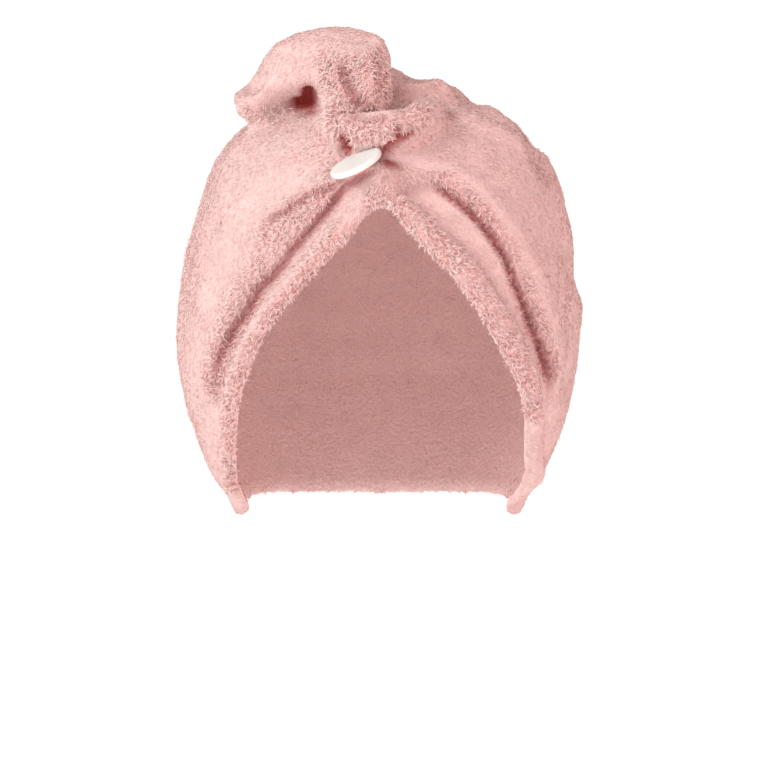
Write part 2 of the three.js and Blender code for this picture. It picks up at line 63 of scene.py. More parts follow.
class Zone(Enum):
    """The stretches of the cloth that each carry a piece of pile of their own."""

    HOOD_FRONT_LEFT = "hood_pile_front_left"
    HOOD_SIDE_LEFT = "hood_pile_side_left"
    HOOD_FRONT_RIGHT = "hood_pile_front_right"
    HOOD_SIDE_RIGHT = "hood_pile_side_right"
    HOOD_BACK_LEFT = "hood_pile_back_left"
    HOOD_BACK_RIGHT = "hood_pile_back_right"
    HOOD_LINING = "hood_pile_lining"
    TAIL_ROLL = "tail_roll_pile"
    FRONT_WRAP = "front_wrap_pile"
    TAIL_END = "tail_end_pile"


def linear(red: int, green: int, blue: int) -> Colour:
    """Turns a display colour into the linear one that shaders use.

    Args:
        red: Red, 0 to 255.
        green: Green, 0 to 255.
        blue: Blue, 0 to 255.

    Returns:
        The three linear shares.
    """
    shares = [value / 255 for value in (red, green, blue)]
    return tuple(s / 12.92 if s <= 0.04045 else ((s + 0.055) / 1.055) ** 2.4 for s in shares)


def rgba(colour: Colour) -> tuple[float, float, float, float]:
    """A colour with full alpha."""
    return (*colour, 1.0)


@dataclass(frozen=True)
class PhotoView:
    """The camera of the photograph, and the rays through its pixels."""

    pixels: int = 760
    lens_mm: float = 113.3
    sensor_mm: float = 36.0
    eye: Place = (0.92 * MM, -1099.3 * MM, -85.4 * MM)
    aim: Place = (0.92 * MM, 0.0, -123.8 * MM)

    def axes(self) -> tuple[Vector, Vector, Vector]:
        """The camera's forward, right and up directions."""
        forward = (Vector(self.aim) - Vector(self.eye)).normalized()
        right = forward.cross(Vector((0, 0, 1))).normalized()
        return forward, right, right.cross(forward)

    def ray(self, pixel: Pixel) -> tuple[Vector, Vector]:
        """The ray through a pixel of the photograph.

        Args:
            pixel: Column and row in the 760 by 760 frame.

        Returns:
            Where the ray starts and its direction.
        """
        forward, right, up = self.axes()
        half = self.sensor_mm / 2 / self.lens_mm
        across = (pixel[0] * 2 / self.pixels - 1) * half
        upward = (1 - pixel[1] * 2 / self.pixels) * half
        return Vector(self.eye), (forward + right * across + up * upward).normalized()

    def make_camera(self) -> bpy.types.Object:
        """Makes the scene's camera and returns it."""
        data = bpy.data.cameras.new("photo_camera")
        data.lens = self.lens_mm
        data.sensor_width = self.sensor_mm
        camera = bpy.data.objects.new("photo_camera", data)
        bpy.context.scene.collection.objects.link(camera)
        camera.location = self.eye
        camera.rotation_euler = self.axes()[0].to_track_quat("-Z", "Y").to_euler()
        bpy.context.scene.camera = camera
        return camera


VIEW = PhotoView()


class Nodes:
    """A node tree with short ways to add and join its nodes."""

    def __init__(self, tree: bpy.types.NodeTree) -> None:
        """Keeps the tree that the nodes go into."""
        self.tree = tree

    def add(self, kind: str, inputs: dict | None = None, **settings: object) -> bpy.types.Node:
        """Adds a node.

        Args:
            kind: The node's type.
            inputs: Values or sockets for its inputs, by name or number.
            settings: The node's own properties.

        Returns:
            The new node.
        """
        node = self.tree.nodes.new(kind)
        for name, value in settings.items():
            setattr(node, name, value)
        self.fill(node, inputs or {})
        return node

    def fill(self, node: bpy.types.Node, inputs: dict) -> None:
        """Links sockets to a node's inputs and gives its other inputs their values."""
        for name, value in inputs.items():
            if isinstance(value, bpy.types.NodeSocket):
                self.tree.links.new(value, node.inputs[name])
            else:
                node.inputs[name].default_value = value

    def math(self, operation: str, *values: object) -> bpy.types.NodeSocket:
        """Adds a Math node on numbers or sockets and returns its output."""
        node = self.add("ShaderNodeMath", dict(enumerate(values)), operation=operation)
        return node.outputs[0]

    def vector(self, operation: str, *values: object) -> bpy.types.NodeSocket:
        """Adds a Vector Math node and returns its vector output."""
        node = self.add("ShaderNodeVectorMath", dict(enumerate(values)), operation=operation)
        return node.outputs["Vector"]

    def scaled(self, vector: bpy.types.NodeSocket, scale: object) -> bpy.types.NodeSocket:
        """A vector times a number."""
        node = self.add("ShaderNodeVectorMath", {0: vector, "Scale": scale}, operation="SCALE")
        return node.outputs["Vector"]

    def blend(self, factor: object, first: object, second: object) -> bpy.types.NodeSocket:
        """Mixes two colours and returns the result."""
        node = self.add("ShaderNodeMix", {"Factor": factor}, data_type="RGBA")
        for name, value in (("A", first), ("B", second)):
            socket = [s for s in node.inputs if s.name == name and s.type == "RGBA"][0]
            if isinstance(value, bpy.types.NodeSocket):
                self.tree.links.new(value, socket)
            else:
                socket.default_value = rgba(value)
        return [s for s in node.outputs if s.type == "RGBA"][0]

    def attribute(self, name: str) -> bpy.types.NodeSocket:
        """The value of a piece's own attribute, in a material."""
        node = self.add("ShaderNodeAttribute", attribute_name=name)
        return node.outputs["Fac"]

    def place(self) -> bpy.types.NodeSocket:
        """Where a point lies in the part's frame, in a material."""
        return self.add("ShaderNodeTexCoord").outputs["Object"]

    def noise(
        self, place: bpy.types.NodeSocket, per_m: float, detail: float = 2.0, twist: float = 0.0
    ) -> bpy.types.NodeSocket:
        """Adds a noise and returns its strength."""
        inputs = {"Vector": place, "Scale": per_m, "Detail": detail, "Distortion": twist}
        return self.add("ShaderNodeTexNoise", inputs).outputs["Fac"]

    def bump(self, share: float, depth: float, height: object) -> bpy.types.NodeSocket:
        """Adds a Bump node and returns the normal that it makes."""
        inputs = {"Strength": share, "Distance": depth, "Height": height}
        return self.add("ShaderNodeBump", inputs).outputs["Normal"]

    def named(self, name: str, kind: str = "FLOAT") -> bpy.types.NodeSocket:
        """The value of the cloth's own attribute, in Geometry Nodes."""
        node = self.add("GeometryNodeInputNamedAttribute", {"Name": name}, data_type=kind)
        return node.outputs[0]

    def stored(
        self, geometry: object, name: str, value: object, kind: str = "FLOAT", domain: str = "POINT"
    ) -> bpy.types.NodeSocket:
        """Stores a value under a name and returns the geometry that carries it."""
        inputs = {"Geometry": geometry, "Name": name, "Value": value}
        kinds = {"data_type": kind, "domain": domain}
        return self.add("GeometryNodeStoreNamedAttribute", inputs, **kinds).outputs[0]

    def random(self, low: float, high: float, seed: int) -> bpy.types.NodeSocket:
        """A random number for each strand."""
        inputs = {"Min": low, "Max": high, "Seed": seed}
        return self.add("FunctionNodeRandomValue", inputs, data_type="FLOAT").outputs[1]

    def random_way(self, seed: int = 0) -> bpy.types.NodeSocket:
        """A random vector for each strand, each of its rows from -1 to 1."""
        inputs = {"Min": (-1, -1, -1), "Max": (1, 1, 1), "Seed": seed}
        return self.add("FunctionNodeRandomValue", inputs, data_type="FLOAT_VECTOR").outputs[0]


def new_material(name: str) -> tuple[bpy.types.Material, Nodes, bpy.types.Node]:
    """Makes a material with nodes.

    Args:
        name: The material's name.

    Returns:
        The material, its tree and its Principled shader.
    """
    material = bpy.data.materials.new(name)
    material.use_nodes = True
    return material, Nodes(material.node_tree), material.node_tree.nodes["Principled BSDF"]


@dataclass(frozen=True)
class PlushFinish:
    """The plush's colours and fine relief, with painted shade in its roots, curls and creases."""

    tip: Colour = linear(246, 229, 225)
    body: Colour = linear(235, 202, 197)
    # Painted shade: the darker root colour stands for the shade deep in the pile, at the foot of the
    # strands.
    root: Colour = linear(206, 134, 129)
    # Painted shade: the dark red that the bottoms of creases and hollows take, by the depth attribute.
    deep: Colour = linear(158, 64, 62)
    sheen: float = 0.08
    curl_shade: float = 0.02
    mottle_per_m: float = 42.0
    fine_per_m: float = 520.0
    contrast_flat: float = 0.3
    along_middle: float = 0.6
    root_until: float = 0.58
    tip_from: float = 0.45
    patch_share: float = 0.5
    fine_share: float = 0.3
    spread: float = 0.16
    ground_along: float = 0.4
    soft_flat: float = 0.85
    soft_curly: float = 0.35
    facing_none: float = -0.1
    facing_full: float = 0.5
    pile_rough: float = 0.85
    pile_gloss: float = 0.15
    sheen_rough: float = 0.5
    ground_rough: float = 0.95
    ground_gloss: float = 0.1
    relief: float = 0.8
    relief_depth: float = 1.2 * MM

    def tone_group(self) -> bpy.types.NodeTree:
        """Tone of pile and ground, root to tip, patch to patch; the dark roots are painted shade."""
        if "plush_tone" in bpy.data.node_groups:
            return bpy.data.node_groups["plush_tone"]
        group = bpy.data.node_groups.new("plush_tone", "ShaderNodeTree")
        face = group.interface
        face.new_socket(name="Position", in_out="INPUT", socket_type="NodeSocketVector")
        for name in ("Along", "Tint", "Depth", "Curl"):
            face.new_socket(name=name, in_out="INPUT", socket_type="NodeSocketFloat")
        face.new_socket(name="Color", in_out="OUTPUT", socket_type="NodeSocketColor")
        face.new_socket(name="Height", in_out="OUTPUT", socket_type="NodeSocketFloat")
        nodes = Nodes(group)
        start = nodes.add("NodeGroupInput").outputs
        end = nodes.add("NodeGroupOutput")
        patches = nodes.noise(start["Position"], self.mottle_per_m)
        fine = nodes.noise(start["Position"], self.fine_per_m, 3.0)
        # Painted shade: where the pile curls, the root-to-tip contrast grows, so the darker roots show
        # more.
        contrast = nodes.math(
            "MULTIPLY_ADD", start["Curl"], 1.0 - self.contrast_flat, self.contrast_flat
        )
        along = nodes.math("SUBTRACT", start["Along"], self.along_middle)
        along = nodes.math("MULTIPLY_ADD", along, contrast, self.along_middle)
        lower = nodes.add("ShaderNodeMapRange", {"Value": along, "From Max": self.root_until})
        # Painted shade: the lower part of each strand turns towards the darker root colour.
        low = nodes.blend(lower.outputs[0], self.root, self.body)
        upper = nodes.add("ShaderNodeMapRange", {"Value": along, "From Min": self.tip_from})
        high = nodes.blend(upper.outputs[0], low, self.tip)
        spread = nodes.math("MULTIPLY", nodes.math("SUBTRACT", start["Tint"], 0.5), contrast)
        for pattern, share in ((patches, self.patch_share), (fine, self.fine_share)):
            spread = nodes.math("MULTIPLY_ADD", nodes.math("SUBTRACT", pattern, 0.5), share, spread)
        # Painted shade: curly stretches are a little darker all over.
        level = nodes.math("MULTIPLY_ADD", start["Curl"], -self.curl_shade, 1.0)
        bright = nodes.math("MULTIPLY_ADD", spread, self.spread, level)
        tinted = nodes.scaled(high, bright)
        # Painted shade: crease bottoms, by the depth attribute, turn towards the deep colour.
        sunk = nodes.blend(start["Depth"], tinted, self.deep)
        nodes.fill(end, {"Color": sunk, "Height": fine})
        return group

    def tone(self, nodes: Nodes, along: object, tint: object) -> bpy.types.Node:
        """Places the shared tone in a material.

        Args:
            nodes: The material's tree.
            along: Height in the pile, from 0 at the ground to 1 at the tips.
            tint: The strand's own lightness, 0 to 1.

        Returns:
            The group's node.
        """
        node = nodes.add("ShaderNodeGroup", node_tree=self.tone_group())
        nodes.fill(node, {"Position": nodes.place(), "Along": along, "Tint": tint})
        nodes.fill(node, {"Depth": nodes.attribute("depth"), "Curl": nodes.attribute("curl")})
        return node

    def soft_normal(self, nodes: Nodes) -> bpy.types.NodeSocket:
        """A strand's normal, drawn towards the cloth's own, more so where the pile lies flat."""
        own = nodes.add("ShaderNodeNewGeometry").outputs["Normal"]
        cloth = nodes.add("ShaderNodeAttribute", attribute_name="up").outputs["Vector"]
        share = nodes.math(
            "MULTIPLY_ADD", nodes.attribute("curl"), self.soft_curly - self.soft_flat, self.soft_flat
        )
        facing = nodes.add("ShaderNodeVectorMath", {0: own, 1: cloth}, operation="DOT_PRODUCT")
        agree = nodes.add(
            "ShaderNodeMapRange",
            {"Value": facing.outputs["Value"], "From Min": self.facing_none, "From Max": self.facing_full},
        ).outputs[0]
        share = nodes.math("MULTIPLY", share, agree)
        rest = nodes.math("SUBTRACT", 1.0, share)
        total = nodes.vector("ADD", nodes.scaled(cloth, share), nodes.scaled(own, rest))
        return nodes.vector("NORMALIZE", total)

    def pile_material(self) -> bpy.types.Material:
        """The finish of the standing strands."""
        material, nodes, shader = new_material("plush_pile")
        tone = self.tone(nodes, nodes.attribute("along"), nodes.attribute("tint"))
        nodes.fill(shader, {
            "Base Color": tone.outputs["Color"],
            "Normal": self.soft_normal(nodes),
            "Roughness": self.pile_rough,
            "Specular IOR Level": self.pile_gloss,
            "Sheen Weight": self.sheen,
            "Sheen Roughness": self.sheen_rough,
        })
        return material

    def ground_material(self) -> bpy.types.Material:
        """The finish of the cloth under the pile, which looks as the pile does from above."""
        material, nodes, shader = new_material("plush_ground")
        # Painted shade: the ground takes the pile's tone part way down towards the darker roots.
        tone = self.tone(nodes, self.ground_along, 0.5)
        nodes.fill(shader, {
            "Base Color": tone.outputs["Color"],
            "Normal": nodes.bump(self.relief, self.relief_depth, tone.outputs["Height"]),
            "Roughness": self.ground_rough,
            "Specular IOR Level": self.ground_gloss,
            "Sheen Weight": self.sheen,
        })
        return material


@dataclass(frozen=True)
class ButtonFinish:
    """Cream moulded plastic, a little cloudy, rubbed duller in fine patches."""

    light: Colour = linear(234, 238, 234)
    warm: Colour = linear(229, 229, 222)
    cloud_per_m: float = 110.0
    cloud_twist: float = 0.6
    scuff_per_m: float = 900.0
    rough: float = 0.32
    rough_more: float = 0.25
    relief: float = 0.12
    relief_depth: float = 0.1 * MM
    milky: float = 0.15
    milky_depth: float = 2 * MM
    coat: float = 0.05

    def material(self) -> bpy.types.Material:
        """The button's finish."""
        material, nodes, shader = new_material("button_plastic")
        place = nodes.place()
        cloud = nodes.noise(place, self.cloud_per_m, 4.0, self.cloud_twist)
        scuff = nodes.noise(place, self.scuff_per_m, 5.0)
        nodes.fill(shader, {
            "Base Color": nodes.blend(cloud, self.light, self.warm),
            "Roughness": nodes.math("MULTIPLY_ADD", scuff, self.rough_more, self.rough),
            "Normal": nodes.bump(self.relief, self.relief_depth, scuff),
            "Subsurface Weight": self.milky,
            "Subsurface Scale": self.milky_depth,
            "Coat Weight": self.coat,
        })
        return material


@dataclass(frozen=True)
class ElasticFinish:
    """Thin elastic, covered with spun thread."""

    thread: Colour = linear(228, 164, 158)
    shade: Colour = linear(196, 118, 114)
    ribs_per_m: float = 700.0
    ribs_twist: float = 1.5
    relief: float = 0.6
    relief_depth: float = 0.2 * MM
    rough: float = 0.8

    def material(self) -> bpy.types.Material:
        """The loop's finish: thread wound round the elastic."""
        material, nodes, shader = new_material("elastic_thread")
        ribs = nodes.add(
            "ShaderNodeTexWave",
            {"Vector": nodes.place(), "Scale": self.ribs_per_m, "Distortion": self.ribs_twist},
            bands_direction="DIAGONAL",
        ).outputs["Fac"]
        nodes.fill(shader, {
            "Base Color": nodes.blend(ribs, self.shade, self.thread),
            "Normal": nodes.bump(self.relief, self.relief_depth, ribs),
            "Roughness": self.rough,
        })
        return material


@dataclass(frozen=True)
class StudioFinish:
    """The white surroundings."""

    white: Colour = (0.95, 0.95, 0.95)
    glow: float = 0.45
    grain_per_m: float = 3.0
    rough: float = 0.8
    rough_more: float = 0.1

    def floor_material(self) -> bpy.types.Material:
        """A pale floor that melts into the white behind it."""
        material, nodes, shader = new_material("studio_floor")
        grain = nodes.noise(nodes.place(), self.grain_per_m)
        nodes.fill(shader, {
            "Roughness": nodes.math("MULTIPLY_ADD", grain, self.rough_more, self.rough),
            "Base Color": rgba(self.white),
            "Emission Color": rgba(self.white),
            "Emission Strength": self.glow,
        })
        return material


def link_mesh(name: str, mesh: bpy.types.Mesh) -> bpy.types.Object:
    """Puts a mesh in the scene as an object at the origin."""
    made = bpy.data.objects.new(name, mesh)
    bpy.context.scene.collection.objects.link(made)
    return made


def rows_of(items: object, name: str, width: int, kind: type = np.float32) -> np.ndarray:
    """One property of a mesh's vertices, normals or edges, a row for each."""
    flat = np.empty(len(items) * width, kind)
    items.foreach_get(name, flat)
    return flat.reshape(-1, width)


def points_of(mesh: bpy.types.Mesh) -> np.ndarray:
    """The mesh's vertices as rows of x, y and z."""
    return rows_of(mesh.vertices, "co", 3).astype(float)


def normals_of(mesh: bpy.types.Mesh) -> np.ndarray:
    """The vertices' outward normals as rows of x, y and z."""
    return rows_of(mesh.vertex_normals, "vector", 3).astype(float)


def set_points(mesh: bpy.types.Mesh, points: np.ndarray) -> None:
    """Moves the mesh's vertices."""
    mesh.vertices.foreach_set("co", points.astype(np.float32).ravel())
    mesh.update()


def edges_of(mesh: bpy.types.Mesh) -> np.ndarray:
    """The mesh's edges as rows of two vertex numbers."""
    return rows_of(mesh.edges, "vertices", 2, np.int32)


def eased(values: np.ndarray, edges: np.ndarray, rounds: int) -> np.ndarray:
    """Evens out values over a mesh, each with its neighbours.

    Args:
        values: One row for each vertex.
        edges: The mesh's edges.
        rounds: How many times neighbours are averaged.

    Returns:
        The eased values.
    """
    values = np.array(values, float)
    rows = values.reshape(len(values), -1)
    count = np.zeros(len(rows))
    for side in (0, 1):
        np.add.at(count, edges[:, side], 1)
    for _ in range(rounds):
        total = np.zeros_like(rows)
        for column in range(rows.shape[1]):
            total[:, column] = np.bincount(
                edges[:, 0], rows[edges[:, 1], column], len(rows)
            ) + np.bincount(edges[:, 1], rows[edges[:, 0], column], len(rows))
        rows = 0.5 * rows + 0.5 * total / np.maximum(count, 1)[:, None]
    return rows.reshape(values.shape)


def baked(source: bpy.types.Object) -> None:
    """Applies an object's modifiers to its mesh and removes them."""
    graph = bpy.context.evaluated_depsgraph_get()
    graph.update()
    mesh = bpy.data.meshes.new_from_object(source.evaluated_get(graph))
    old = source.data
    source.modifiers.clear()
    source.data = mesh
    bpy.data.meshes.remove(old)


def add_values(mesh: bpy.types.Mesh, name: str, values: np.ndarray) -> None:
    """Writes a number for each vertex as an attribute."""
    attribute = mesh.attributes.get(name) or mesh.attributes.new(name, "FLOAT", "POINT")
    attribute.data.foreach_set("value", values.astype(np.float32))


def merged_solid(node: str, swell: float) -> bpy.types.Mesh:
    """A solid of the frame with its corners joined, grown outwards a little.

    Args:
        node: The solid's node.
        swell: How far its surface moves out.

    Returns:
        The new mesh.
    """
    soup = bmesh.new()
    soup.from_mesh(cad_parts[node].data)
    bmesh.ops.remove_doubles(soup, verts=soup.verts, dist=1e-6)
    soup.normal_update()
    moves = [vertex.normal.copy() * swell for vertex in soup.verts]
    for vertex, move in zip(soup.verts, moves):
        vertex.co += move
    mesh = bpy.data.meshes.new(node)
    soup.to_mesh(mesh)
    soup.free()
    return mesh


def main_body(mesh: bpy.types.Mesh) -> None:
    """Keeps the largest connected body of a mesh and drops the bubbles."""
    soup = bmesh.new()
    soup.from_mesh(mesh)
    left = set(soup.verts)
    bodies = []
    while left:
        body, edge = set(), [left.pop()]
        while edge:
            vertex = edge.pop()
            body.add(vertex)
            for link in vertex.link_edges:
                other = link.other_vert(vertex)
                if other in left:
                    left.discard(other)
                    edge.append(other)
        bodies.append(body)
    bodies.sort(key=len)
    for body in bodies[:-1]:
        bmesh.ops.delete(soup, geom=list(body), context="VERTS")
    soup.to_mesh(mesh)
    soup.free()


def joined_cloth(name: str, swells: dict[str, float], voxel: float, rounds: int) -> bpy.types.Object:
    """Joins solids of the frame to one even, rounded mesh.

    Args:
        name: The new object's name.
        swells: How far each node's solid grows, so that it reaches its neighbours.
        voxel: The size of the new mesh's faces.
        rounds: How many times the facets are eased.

    Returns:
        The new object.
    """
    soup = bmesh.new()
    for node, swell in swells.items():
        solid = merged_solid(node, swell)
        soup.from_mesh(solid)
        bpy.data.meshes.remove(solid)
    mesh = bpy.data.meshes.new(name)
    soup.to_mesh(mesh)
    soup.free()
    made = link_mesh(name, mesh)
    remesh = made.modifiers.new("even", "REMESH")
    remesh.mode = "VOXEL"
    remesh.voxel_size = voxel
    remesh.use_smooth_shade = True
    baked(made)
    made.data.materials.clear()
    main_body(made.data)
    set_points(made.data, eased(points_of(made.data), edges_of(made.data), rounds))
    return made


def tree_of(mesh: bpy.types.Mesh) -> BVHTree:
    """A search tree over the mesh's faces."""
    faces = [tuple(polygon.vertices) for polygon in mesh.polygons]
    return BVHTree.FromPolygons([tuple(p) for p in points_of(mesh)], faces)


def laid(path: tuple[Pixel, ...], cloth: BVHTree) -> tuple[np.ndarray, np.ndarray]:
    """Lays a path drawn over the photograph on the cloth.

    Args:
        path: Pixels of the photograph.
        cloth: The cloth's faces.

    Returns:
        Points along the path, and the cloth's outward direction at each.
    """
    found = []
    for start, end in zip(path, path[1:]):
        for share in np.linspace(0, 1, 12, endpoint=False):
            pixel = (start[0] + (end[0] - start[0]) * share, start[1] + (end[1] - start[1]) * share)
            place, normal, _, _ = cloth.ray_cast(*VIEW.ray(pixel))
            if place is not None:
                found.append((place, normal))
    points = np.array([tuple(place) for place, _ in found])
    normals = np.array([tuple(normal) for _, normal in found])
    kernel = np.ones(9) / 9
    smooth = np.stack(
        [np.convolve(np.pad(normals[:, i], 4, mode="edge"), kernel, "valid") for i in range(3)], 1
    )
    return points, smooth / np.linalg.norm(smooth, axis=1, keepdims=True)


@dataclass(frozen=True)
class CurlyStretch:
    """A stretch where the pile stands up in curls, drawn over the photograph.

    The path's rows are pixels of the photograph, reach is half the stretch's width, and full how
    curly its middle is.
    """

    name: str
    path: tuple[Pixel, ...]
    reach: float = 6 * MM
    full: float = 1.0

    def strength(self, points: np.ndarray, cloth: BVHTree) -> np.ndarray:
        """How curly the pile is at each vertex, from 0 to 1."""
        line, _ = laid(self.path, cloth)
        near = KDTree(len(line))
        for i, place in enumerate(line):
            near.insert(place, i)
        near.balance()
        away = np.array([near.find(point)[2] for point in points])
        return self.full * np.exp(-((away / self.reach) ** 4))


@dataclass(frozen=True)
class Shift:
    """A gentle push on the cloth round a pixel of the photograph.

    Reach is how far round it the cloth moves, and move is the push in its middle.
    """

    name: str
    pixel: Pixel
    move: Place
    reach: float = 9 * MM

    def push(self, points: np.ndarray) -> np.ndarray:
        """The move of each vertex."""
        eye, ray = VIEW.ray(self.pixel)
        eye, ray = np.array(eye), np.array(ray)
        away = points - eye
        along = away @ ray
        beside = np.linalg.norm(away - along[:, None] * ray, axis=1)
        close = np.where(beside < max(beside.min() * 1.02, 1.5 * MM))[0]
        middle = eye + ray * along[close].min()
        far = np.linalg.norm(points - middle, axis=1)
        return np.exp(-((far / self.reach) ** 2))[:, None] * np.array(self.move)


@dataclass(frozen=True)
class Crease:
    """A narrow crease in the cloth, drawn over the photograph.

    The path's rows are pixels of the photograph. Depth is how far the cloth is pressed in, reach
    half the crease's width, and shade how strongly painted shade darkens and reddens its bottom.
    """

    name: str
    path: tuple[Pixel, ...]
    depth: float = 4 * MM
    reach: float = 2.4 * MM
    shade: float = 0.8
    shade_share: float = 0.75
    near: float = 10 * MM
    fading: float = 0.18
    depth_at_end: float = 0.25
    shade_at_end: float = 0.1
    shade_gain: float = 1.35
    shade_rise: float = 1.6

    def press(self, points: np.ndarray, cloth: BVHTree) -> tuple[np.ndarray, np.ndarray]:
        """Works out how the crease moves the cloth.

        Args:
            points: The cloth's vertices.
            cloth: The cloth's faces.

        Returns:
            The move of each vertex, and how much painted shade it takes, from 0 to 1.
        """
        line, normals = laid(self.path, cloth)
        move = np.zeros_like(points)
        depth = np.zeros(len(points))
        low, high = line.min(0) - self.near, line.max(0) + self.near
        for i in np.where(((points > low) & (points < high)).all(1))[0]:
            away = points[i] - line
            out = (away * normals).sum(1)
            flat = np.sqrt(np.maximum((away * away).sum(1) - out * out, 0))
            flat[np.abs(out) > self.near] = 1
            nearest = int(flat.argmin())
            ends = min(nearest, len(line) - 1 - nearest) / (self.fading * len(line))
            full = math.exp(-((flat[nearest] / self.reach) ** 2)) * min(1.0, self.depth_at_end + ends)
            move[i] = -normals[nearest] * self.depth * full
            # Painted shade: narrower than the press and strongest along the crease's middle.
            narrow = (flat[nearest] / (self.reach * self.shade_share)) ** 2
            shaded = min(1.0, self.shade_gain * math.exp(-narrow)) * self.shade
            depth[i] = shaded * min(1.0, self.shade_at_end + self.shade_rise * ends)
        return move, depth


@dataclass(frozen=True)
class Habit:
    """How the pile changes from where it lies flat, each pair's first number, to where it curls."""

    pull: tuple[float, float] = (0.25, 1.0)
    stray: tuple[float, float] = (0.6, 1.0)
    wobble: tuple[float, float] = (0.35, 1.0)
    lean: tuple[float, float] = (2.4, 0.8)
    loose: tuple[float, float] = (0.45, 1.1)
    size: tuple[float, float] = (0.6, 1.0)
    wobble_per_m: float = 160.0
    wobble_reach: float = 2.2
    taper: float = 2.6
    in_crease: float = 0.55
    shortest: float = 0.7
    longest: float = 1.15


